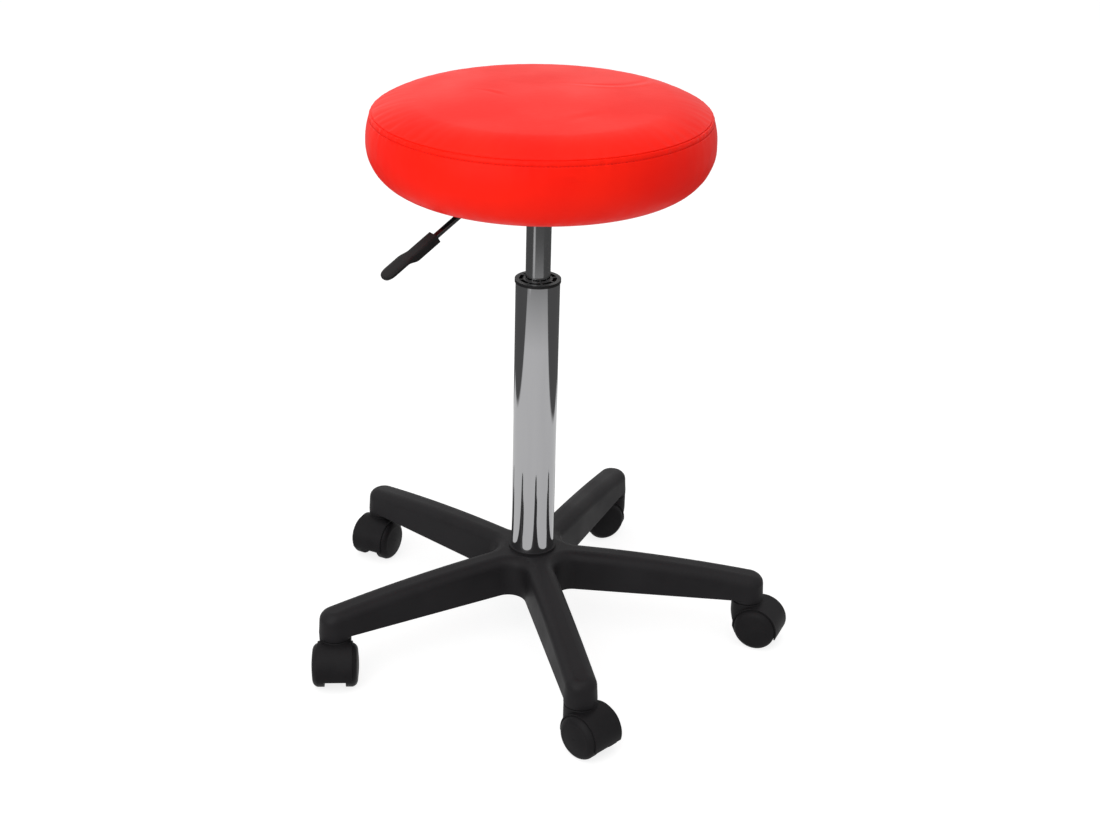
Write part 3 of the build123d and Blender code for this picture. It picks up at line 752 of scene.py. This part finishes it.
def cover_stand_out(run, angle):
    """How far the sewn cover stands out from its outline: wrinkles, grooves, puckers, pleats."""
    below = seam_run - run
    grooves = -seam_depth * bell(below, seam_half_width)
    grooves -= topstitch_depth * bell(below - topstitch_drop, topstitch_half_width)
    fold = fold_height * bell(below - topstitch_drop / 2, topstitch_drop / 2)
    near_seam = np.exp(-np.abs(below - topstitch_drop / 2) / pucker_reach)
    puckers = pucker_height * near_seam * uneven(angle, run, pucker_waves, pucker_drift)
    over_board = np.clip((run - board_run) / pleat_reach, -1.0, 1.0)
    gathers = np.minimum(uneven(angle, run, pleat_waves, pleat_drift), 0.0)
    pleats = pleat_height * (1 - over_board**2) * gathers
    radius = on_outline(run, outline)[..., 0]
    pressed = np.zeros(angle.shape)
    for crease_angle, crease_run, direction, half_length, half_width, depth in creases:
        turn = np.radians(direction)
        round_by = radius * (np.mod(angle - np.radians(crease_angle) + np.pi, 2 * np.pi) - np.pi)
        up_by = run - seam_run - crease_run
        along = round_by * np.cos(turn) + up_by * np.sin(turn)
        across = up_by * np.cos(turn) - round_by * np.sin(turn)
        bow = crease_bow_share * along**2 / half_length
        lip = crease_lip_share * bell(across + bow - 2 * half_width, half_width)
        pressed -= depth * bell(along, half_length) * (bell(across + bow, half_width) - lip)
    return wrinkles(run, angle) + grooves + fold + puckers + pleats + pressed


# Where the rows of the cover's grid crowd together: the run, how many times more rows than
# elsewhere, and the reach.
row_crowding = (
    (seam_run, 9, 0.0035),
    (seam_run - topstitch_drop, 7, 0.002),
    (board_run, 2, 0.010),
)
fine_run_count = 4000


def spaced_runs(start, end, count):
    """Rows from start to end, closest together at the sewing and the board's edge."""
    run = np.linspace(start, end, fine_run_count)
    density = np.ones(fine_run_count)
    for middle, extra, reach in row_crowding:
        density += extra * bell(run - middle, reach)
    rank = np.concatenate([[0.0], np.cumsum((density[1:] + density[:-1]) / 2)])
    return np.interp(np.linspace(0.0, rank[-1], count), rank, run)


def cover_piece(name, start, end, rows, end_pole=False):
    """One sewn piece of the cover between two runs, on a grid of run and angle."""
    run, angle = np.meshgrid(
        spaced_runs(start, end, rows),
        np.linspace(0.0, 2 * np.pi, cover_columns, endpoint=False),
        indexing="ij",
    )
    points = turned_surface(run[:, 0], angle, cover_stand_out(run, angle))
    piece = grid_object(name, points, end_pole=end_pole)
    skin = piece.modifiers.new("thickness", "SOLIDIFY")
    skin.thickness = cover_thickness
    skin.offset = -1.0
    piece.data.materials.append(coated_cloth)
    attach(piece, "seat")
    return piece


# The coated cloth: red polyurethane over a knitted back, with a fine leather grain pressed in,
# over small soft folds, and colour and gloss that drift a little in broad clouds.
cover_columns = 640
band_rows = 76
panel_rows = 76
red_colours = ((0.93, 0.0130, 0.0032), (0.86, 0.0085, 0.0024))
leather_roughness = (0.36, 0.46)
leather_ior = 1.18
leather_cells_per_metre = 820.0
leather_depth = 0.00004
leather_fold_per_metre = 140.0
leather_fold_depth = 0.00010
leather_cloud_per_metre = 9.0
leather_noise_detail = 4.0

coated_cloth, leather_tree, leather_shader = blank_finish("coated_cloth")
leather_clouds = object_noise(leather_tree, leather_cloud_per_metre, leather_noise_detail)
leather_share = spread(leather_tree, leather_clouds, 0.0, 1.0)
leather_tint = colour_between(leather_tree, leather_share, *red_colours)
leather_tree.links.new(leather_tint, leather_shader.inputs["Base Color"])
leather_gloss = spread(leather_tree, leather_clouds, *leather_roughness)
leather_tree.links.new(leather_gloss, leather_shader.inputs["Roughness"])
leather_place = leather_tree.nodes.new("ShaderNodeTexCoord")
leather_cells = leather_tree.nodes.new("ShaderNodeTexVoronoi")
leather_cells.feature = "DISTANCE_TO_EDGE"
leather_cells.inputs["Scale"].default_value = leather_cells_per_metre
leather_tree.links.new(leather_place.outputs["Object"], leather_cells.inputs["Vector"])
leather_folds = object_noise(leather_tree, leather_fold_per_metre, leather_noise_detail)
fold_bump = raised(leather_tree, leather_folds, leather_fold_depth)
leather_bump = raised(leather_tree, leather_cells.outputs["Distance"], leather_depth, fold_bump)
leather_tree.links.new(leather_bump, leather_shader.inputs["Normal"])
leather_shader.inputs["IOR"].default_value = leather_ior

side_cover = cover_piece("seat_side_cover", 0.0, seam_run, band_rows)
top_cover = cover_piece("seat_top_cover", seam_run, panel_pole_run, panel_rows, end_pole=True)
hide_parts("side_band")
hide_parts("top_panel")

# Topstitch. Red bonded thread, one stitch every four millimetres, a little sunk in its groove.
stitch_count = 288
stitch_length = 0.0032
thread_radius = 0.00036
thread_sink = 0.00012
thread_colours = ((0.62, 0.006, 0.004), (0.78, 0.009, 0.005))
thread_roughness = (0.50, 0.65)
thread_twist_per_metre = 2600.0
thread_twist_depth = 0.00008
stitch_rings = 5
stitch_sides = 7

sewing_thread = grained_finish(
    "sewing_thread",
    thread_colours,
    thread_roughness,
    leather_ior,
    (thread_twist_per_metre, thread_twist_depth),
    thread_twist_per_metre / 4,
)


def rounded_bars(name, centre, along, half_length, radius, rings, sides):
    """Many short level bars, each round, whose radius falls off along it as an ellipse."""
    place = -np.cos(np.linspace(0.0, np.pi, rings + 2)[1:-1])
    turn = np.linspace(0.0, 2 * np.pi, sides, endpoint=False)
    sideways = np.cross(along, straight_up)[:, None, None, :]
    ring = np.cos(turn)[:, None] * straight_up + np.sin(turn)[:, None] * sideways
    width = radius * np.sqrt(1 - place**2)[None, :, None, None]
    ring_reach = place[None, :, None, None] * half_length
    body = centre[:, None, None, :] + ring_reach * along[:, None, None, :]
    body = (body + width * ring).reshape(len(centre), rings * sides, 3)
    tip_reach = np.array([-1.0, 1.0])[None, :, None] * half_length
    tips = centre[:, None, :] + tip_reach * along[:, None, :]
    vertices = np.concatenate([body, tips], 1)
    first, beside, quads = grid_quads(rings, sides)
    start_tip = np.stack([beside[0], first[0], np.full(sides, rings * sides)], -1)
    end_tip = np.stack([first[-1], beside[-1], np.full(sides, rings * sides + 1)], -1)
    shift = (np.arange(len(centre)) * vertices.shape[1])[:, None, None]
    faces = (quads + shift).reshape(-1, 4).tolist()
    faces += (np.concatenate([start_tip, end_tip]) + shift).reshape(-1, 3).tolist()
    return smooth_object(name, vertices.reshape(-1, 3), faces)


stitch_angle = np.linspace(0.0, 2 * np.pi, stitch_count, endpoint=False)
stitch_run = np.full((1, 1), seam_run - topstitch_drop)
stitch_rise = cover_stand_out(stitch_run, stitch_angle[None, :]) - thread_sink + thread_radius
stitch_centre = turned_surface(stitch_run[:, 0], stitch_angle[None, :], stitch_rise)[0]
stitch_along = np.stack([-np.sin(stitch_angle), np.cos(stitch_angle), np.zeros(stitch_count)], 1)
topstitch = rounded_bars(
    "topstitch",
    stitch_centre,
    stitch_along,
    stitch_length / 2,
    thread_radius,
    stitch_rings,
    stitch_sides,
)
topstitch.data.materials.append(sewing_thread)
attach(topstitch, "seat")

# Foam block: open-cell foam, cut to the cover's inside and hollowed where the board sits.
foam_gap = 0.0004
foam_seam_half_width = 0.003
foam_start_reach = 0.004
# The first foam colour is the foam's own; the second, darker one is painted shade in the pits of
# the pores.
foam_and_painted_pore_shade_colours = ((0.74, 0.68, 0.46), (0.62, 0.55, 0.34))
foam_roughness = 0.92
foam_pores_per_metre = 700.0
foam_pore_depth = 0.0006
painted_pore_shade_span = (0.1, 0.7)
foam_columns = 240
foam_rows = 64
foam_pole_radius = 0.006
foam_inner_radius = 0.100
foam_side_gap = 0.0002
foam_top_gap = 0.0001
foam_lip_height = 0.0020

cut_foam, foam_tree, foam_shader = blank_finish("cut_foam")
foam_place = foam_tree.nodes.new("ShaderNodeTexCoord")
foam_pores = foam_tree.nodes.new("ShaderNodeTexVoronoi")
foam_pores.inputs["Scale"].default_value = foam_pores_per_metre
foam_tree.links.new(foam_place.outputs["Object"], foam_pores.inputs["Vector"])
# Painted shade: the colour darkens towards each pore's pit, where the bump below sinks.
painted_pore_shade_share = spread(foam_tree, foam_pores.outputs["Distance"], 1.0, 0.0, *painted_pore_shade_span)
foam_tint_with_painted_pore_shade = colour_between(foam_tree, painted_pore_shade_share, *foam_and_painted_pore_shade_colours)
foam_tree.links.new(foam_tint_with_painted_pore_shade, foam_shader.inputs["Base Color"])
foam_bump = raised(foam_tree, foam_pores.outputs["Distance"], foam_pore_depth)
foam_tree.links.new(foam_bump, foam_shader.inputs["Normal"])
foam_shader.inputs["Roughness"].default_value = foam_roughness

board_radius = float(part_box("seat_board")[1][0])
board_top = float(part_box("seat_board")[1][2])
foam_run, foam_angle = np.meshgrid(
    np.linspace(board_run + foam_start_reach, panel_pole_run, foam_rows),
    np.linspace(0.0, 2 * np.pi, foam_columns, endpoint=False),
    indexing="ij",
)
foam_stand_out = wrinkles(foam_run, foam_angle) - cover_thickness - foam_gap
foam_stand_out -= seam_depth * bell(foam_run - seam_run, foam_seam_half_width)
# Near the board's edge the foam keeps clear of the deepest pleat.
foam_over_board = np.clip((foam_run - board_run) / pleat_reach, -1.0, 1.0)
foam_stand_out -= pleat_height * np.sqrt(len(pleat_waves)) * (1 - foam_over_board**2)
foam_skin = turned_surface(foam_run[:, 0], foam_angle, foam_stand_out)
hollow_top = board_top + foam_top_gap
# Rings of the hollow over the board, each a radius and a height.
hollow_rings = np.array(
    [
        (foam_pole_radius, hollow_top),
        (foam_inner_radius, hollow_top),
        (board_radius, hollow_top),
        (board_radius + foam_side_gap, seat_low + foam_lip_height),
    ]
)
foam_hollow = round_axis(hollow_rings[:, :1], foam_angle[0], hollow_rings[:, 1:])
foam_points = np.concatenate([foam_hollow, foam_skin])
foam_block = grid_object("seat_foam_block", foam_points, start_pole=True, end_pole=True)
foam_block.data.materials.append(cut_foam)
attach(foam_block, "seat")
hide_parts("seat_foam")

# Dust cloth: black spunbonded cloth, stapled flat under the board over the cover's hem. Its
# rim lies a step lower where it laps the hem, and scallops a little between the staples.
cloth_radius = 0.1375
lap_start = 0.1225
lap_end = 0.1262
dust_cloth_thickness = 0.00045
cloth_rise = 0.00065
cloth_high = seat_low + cloth_rise
cloth_lap_drop = 0.00130
staple_count = 40
scallop_share = 0.010
cloth_colours = ((0.0110, 0.0110, 0.0115), (0.0200, 0.0200, 0.0210))
cloth_roughness = (0.80, 0.92)
cloth_ior = 1.25
fibre_per_metre = 1900.0
fibre_depth = 0.00012
cloth_pole_radius = 0.004
flat_row_count = 26
lap_row_count = 7
rim_row_count = 10
columns_per_staple = 8
flat_rings = np.linspace(cloth_pole_radius, lap_start, flat_row_count)
lap_rings = np.linspace(lap_start, lap_end, lap_row_count)[1:]
rim_rings = np.linspace(lap_end, cloth_radius, rim_row_count)[1:]
cloth_ring_radii = np.concatenate([flat_rings, lap_rings, rim_rings])[::-1, None]
cloth_angles = np.linspace(0.0, 2 * np.pi, columns_per_staple * staple_count, endpoint=False)

spunbond = grained_finish(
    "spunbond",
    cloth_colours,
    cloth_roughness,
    cloth_ior,
    (fibre_per_metre, fibre_depth),
    hood_cloud_per_metre,
)
lap_share = eased(np.clip((cloth_ring_radii - lap_start) / (lap_end - lap_start), 0.0, 1.0))
scallop = 1 - scallop_share * lap_share * (0.5 - 0.5 * np.cos(staple_count * cloth_angles))
cloth_reach = cloth_ring_radii * scallop
cloth_points = round_axis(cloth_reach, cloth_angles, cloth_high - cloth_lap_drop * lap_share)
dust_cloth = grid_object("seat_dust_cloth", cloth_points[:, ::-1], end_pole=True)
weave = dust_cloth.modifiers.new("thickness", "SOLIDIFY")
weave.thickness = dust_cloth_thickness
weave.offset = -1.0
dust_cloth.data.materials.append(spunbond)
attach(dust_cloth, "seat")
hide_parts("dust_cover")

# Staples: galvanised wire, driven through the dust cloth and the hem into the board, so that
# only their backs show. Each leans a little from its neighbours.
staple_ring_radius = 0.1330
staple_half_length = 0.0048
staple_wire_radius = 0.00045
staple_drop = 0.00085
staple_height = seat_low - staple_drop
staple_lean = 0.12
staple_lean_step = 5.1
staple_rings = 7
staple_sides = 8

staple_angle = np.linspace(0.0, 2 * np.pi, staple_count, endpoint=False)
staple_leans = staple_lean * np.sin(staple_lean_step * np.arange(staple_count))
staple_turn = staple_angle + np.pi / 2 + staple_leans
staple_centre = round_axis(staple_ring_radius, staple_angle, staple_height)
staple_along = round_axis(1.0, staple_turn, 0.0)
staples = rounded_bars(
    "cover_staples",
    staple_centre,
    staple_along,
    staple_half_length,
    staple_wire_radius,
    staple_rings,
    staple_sides,
)
staples.data.materials.append(bright_zinc)
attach(staples, "seat")

# Floor: a plain white ground. To the camera it is white and keeps the stool's soft shadow.
# In mirrors and glass it shows a painted reflection instead: an emission that is pale over a
# broad sheet fading out into painted dark, with a painted pale pool at the front left and painted
# pale walls far off.
floor_half_size = 14.0
floor_white = 0.80
floor_shadow_share = 0.34
floor_glow = 0.80
# Painted reflection: the shape and levels of the glow that mirrors and glass see on the floor.
painted_sheet_reflection_half_width = 0.67
painted_sheet_reflection_narrowing = 0.35
painted_sheet_reflection_shift = 0.03
painted_sheet_reflection_back_edge = 0.60
painted_sheet_reflection_reach = 1.13
painted_sheet_reflection_edge_softness = 0.02
painted_sheet_reflection_reach_softness = 0.25
painted_pool_reflection_centre = (-0.88, -1.05)
painted_pool_reflection_radius = 0.24
painted_pool_reflection_softness = 0.08
painted_wall_reflection_distance = 1.85
painted_wall_reflection_softness = 0.12
painted_wall_reflection_paleness = 0.40
painted_reflection_pale_level = 0.80
painted_reflection_dark_level = 0.12
stool_turn = np.radians(11.06)

floor_corners = floor_half_size * np.array([(-1, -1), (1, -1), (1, 1), (-1, 1)])
floor_mesh = bpy.data.meshes.new("floor")
floor_mesh.from_pydata([(*corner, 0.0) for corner in floor_corners.tolist()], [], [(0, 1, 2, 3)])
floor = bpy.data.objects.new("floor", floor_mesh)
bpy.context.scene.collection.objects.link(floor)

floor_and_painted_reflection, floor_tree, floor_shader = blank_finish("floor_and_painted_reflection")
floor_tree.nodes.remove(floor_shader)
floor_out = floor_tree.nodes["Material Output"]
floor_place = floor_tree.nodes.new("ShaderNodeTexCoord")
floor_turn = floor_tree.nodes.new("ShaderNodeMapping")
floor_turn.inputs["Rotation"].default_value[2] = stool_turn
floor_tree.links.new(floor_place.outputs["Object"], floor_turn.inputs["Vector"])
floor_axes = floor_tree.nodes.new("ShaderNodeSeparateXYZ")
floor_tree.links.new(floor_turn.outputs["Vector"], floor_axes.inputs["Vector"])


def ray_kinds(tree):
    """Two sockets: 1 for a ray from the camera, and 1 for a ray by way of a mirror or glass."""
    ray = tree.nodes.new("ShaderNodeLightPath").outputs
    by_mirror = math_node(tree, "MAXIMUM", ray["Is Glossy Ray"], ray["Is Transmission Ray"])
    return ray["Is Camera Ray"], by_mirror


def floor_math(operation, *inputs):
    """One Math node on the floor's tree."""
    return math_node(floor_tree, operation, *inputs)


def floor_distance(from_x, from_y):
    """Distance over the floor from a point given in the camera's level axes."""
    x = floor_math("SUBTRACT", floor_axes.outputs["X"], from_x)
    y = floor_math("SUBTRACT", floor_axes.outputs["Y"], from_y)
    squares = [floor_math("MULTIPLY", part, part) for part in (x, y)]
    return floor_math("SQRT", floor_math("ADD", *squares))


def floor_edge(distance, limit, softness):
    """1 inside the limit, falling smoothly to 0 past it."""
    return spread(floor_tree, distance, 1.0, 0.0, limit - softness, limit + softness)


def floor_emission(strength):
    """A white emission, fed by a socket or a plain number."""
    node = floor_tree.nodes.new("ShaderNodeEmission")
    if isinstance(strength, bpy.types.NodeSocket):
        floor_tree.links.new(strength, node.inputs["Strength"])
    else:
        node.inputs["Strength"].default_value = strength
    return node.outputs["Emission"]


def floor_blend(share, first, second):
    """The first shader where the share is 0, the second where it is 1."""
    node = floor_tree.nodes.new("ShaderNodeMixShader")
    floor_tree.links.new(share, node.inputs[0])
    floor_tree.links.new(first, node.inputs[1])
    floor_tree.links.new(second, node.inputs[2])
    return node.outputs["Shader"]


# Painted reflection: pale over a slanted sheet, a pool at the front left and a far ring, and dim
# elsewhere.
beside_axis = floor_math("ABSOLUTE", floor_math("ADD", floor_axes.outputs["X"], painted_sheet_reflection_shift))
painted_sheet_reflection_slant = floor_math("MULTIPLY", floor_axes.outputs["Y"], painted_sheet_reflection_narrowing)
slanted_axis = floor_math("ADD", beside_axis, painted_sheet_reflection_slant)
beside_painted_sheet_reflection = floor_edge(slanted_axis, painted_sheet_reflection_half_width, painted_sheet_reflection_edge_softness)
behind_painted_sheet_reflection = floor_edge(floor_axes.outputs["Y"], painted_sheet_reflection_back_edge, painted_sheet_reflection_edge_softness)
far_out = floor_edge(floor_distance(0.0, 0.0), painted_sheet_reflection_reach, painted_sheet_reflection_reach_softness)
painted_sheet_reflection_share = floor_math("MULTIPLY", floor_math("MULTIPLY", beside_painted_sheet_reflection, behind_painted_sheet_reflection), far_out)
painted_pool_reflection_share = floor_edge(floor_distance(*painted_pool_reflection_centre), painted_pool_reflection_radius, painted_pool_reflection_softness)
painted_wall_reflection_share = spread(
    floor_tree,
    floor_distance(0.0, 0.0),
    0.0,
    painted_wall_reflection_paleness,
    painted_wall_reflection_distance - painted_wall_reflection_softness,
    painted_wall_reflection_distance + painted_wall_reflection_softness,
)
painted_reflection_pale_share = floor_math("MAXIMUM", floor_math("MAXIMUM", painted_sheet_reflection_share, painted_pool_reflection_share), painted_wall_reflection_share)
painted_reflection_strength = spread(floor_tree, painted_reflection_pale_share, painted_reflection_dark_level, painted_reflection_pale_level, 0.0, 1.0)
# Painted reflection: this emission is all that mirrors and glass see of the floor.
painted_reflection_floor = floor_emission(painted_reflection_strength)
plain_floor = floor_tree.nodes.new("ShaderNodeBsdfDiffuse")
plain_floor.inputs["Color"].default_value = (*[floor_white] * 3, 1.0)
shadow_floor = floor_tree.nodes.new("ShaderNodeBsdfDiffuse")
shadow_floor.inputs["Color"].default_value = (*[floor_shadow_share] * 3, 1.0)
lit_floor = floor_tree.nodes.new("ShaderNodeAddShader")
floor_tree.links.new(shadow_floor.outputs["BSDF"], lit_floor.inputs[0])
floor_tree.links.new(floor_emission(floor_glow), lit_floor.inputs[1])
camera_ray, mirror_ray = ray_kinds(floor_tree)
seen_floor = floor_blend(camera_ray, plain_floor.outputs["BSDF"], lit_floor.outputs["Shader"])
whole_floor = floor_blend(mirror_ray, seen_floor, painted_reflection_floor)
floor_tree.links.new(whole_floor, floor_out.inputs["Surface"])
floor_mesh.materials.append(floor_and_painted_reflection)

# Light: a plain room that is white to the camera and in mirrors and lights the part more
# faintly, one large soft lamp overhead and a smaller one from the front left.
world_light = 0.55
# Each lamp's name, place, size and watts.
lamps = (
    ("overhead_lamp", (-0.3, -0.6, 3.0), 4.0, 45.0),
    ("front_left_lamp", (-2.2, -1.9, 1.6), 3.0, 44.0),
)
lamp_aim = np.array([0.0, 0.0, 0.45])


def facing(place, back):
    """A 4 by 4 matrix at a place, whose +Z points along back and whose X stays level."""
    back = back / np.linalg.norm(back)
    right = np.cross(straight_up, back)
    right /= np.linalg.norm(right)
    matrix = np.eye(4)
    matrix[:3, :4] = np.stack([right, np.cross(back, right), back, place], 1)
    return matrix


room = bpy.data.worlds.new("room")
bpy.context.scene.world = room
room.use_nodes = True
room_tree = room.node_tree
room_back = room_tree.nodes["Background"]
room_back.inputs["Color"].default_value = (1.0, 1.0, 1.0, 1.0)
room_seen = math_node(room_tree, "MAXIMUM", *ray_kinds(room_tree))
room_strength = spread(room_tree, room_seen, world_light, 1.0, 0.0, 1.0)
room_tree.links.new(room_strength, room_back.inputs["Strength"])
for lamp_name, lamp_place, lamp_size, lamp_watts in lamps:
    lamp_data = bpy.data.lights.new(lamp_name, "AREA")
    lamp_data.shape = "DISK"
    lamp_data.size = lamp_size
    lamp_data.energy = lamp_watts
    lamp = bpy.data.objects.new(lamp_name, lamp_data)
    bpy.context.scene.collection.objects.link(lamp)
    lamp.matrix_world = facing(lamp_place, np.array(lamp_place) - lamp_aim).T.tolist()

# Camera, fitted to the photograph's outline of the stool. The picture is 1100 pixels wide and
# 824 high, and its centre of view lies a little left of the middle.
picture_width = 1100
focal_pixels = 1788.9
sensor_width = 36.0
view_centre_x = 497.0
view_centre_y = 414.5
picture_middle = (550.0, 412.0)
aim_point = np.array([0.0, 0.0, 0.2885])
aim_distance = 2.05767
aim_offset = (0.043854, 0.011587)
view_lift = np.radians(25.044)
view_roll = np.radians(-0.661)

level_right = np.array([np.cos(stool_turn), -np.sin(stool_turn), 0.0])
level_back = np.array([-np.sin(stool_turn), -np.cos(stool_turn), 0.0])
view_back = level_back * np.cos(view_lift) + straight_up * np.sin(view_lift)
level_up = np.cross(view_back, level_right)
eye = aim_point + aim_distance * view_back - aim_offset[0] * level_right - aim_offset[1] * level_up
view_right = np.cos(view_roll) * level_right - np.sin(view_roll) * level_up
view_up = np.sin(view_roll) * level_right + np.cos(view_roll) * level_up
eye_matrix = np.eye(4)
eye_matrix[:3, :4] = np.stack([view_right, view_up, view_back, eye], 1)
lens = bpy.data.cameras.new("camera")
lens.sensor_width = sensor_width
lens.lens = sensor_width * focal_pixels / picture_width
lens.shift_x = (picture_middle[0] - view_centre_x) / picture_width
lens.shift_y = (view_centre_y - picture_middle[1]) / picture_width
camera = bpy.data.objects.new("camera", lens)
bpy.context.scene.collection.objects.link(camera)
camera.matrix_world = eye_matrix.T.tolist()
bpy.context.scene.camera = camera
bpy.context.scene.view_settings.view_transform = "Standard"
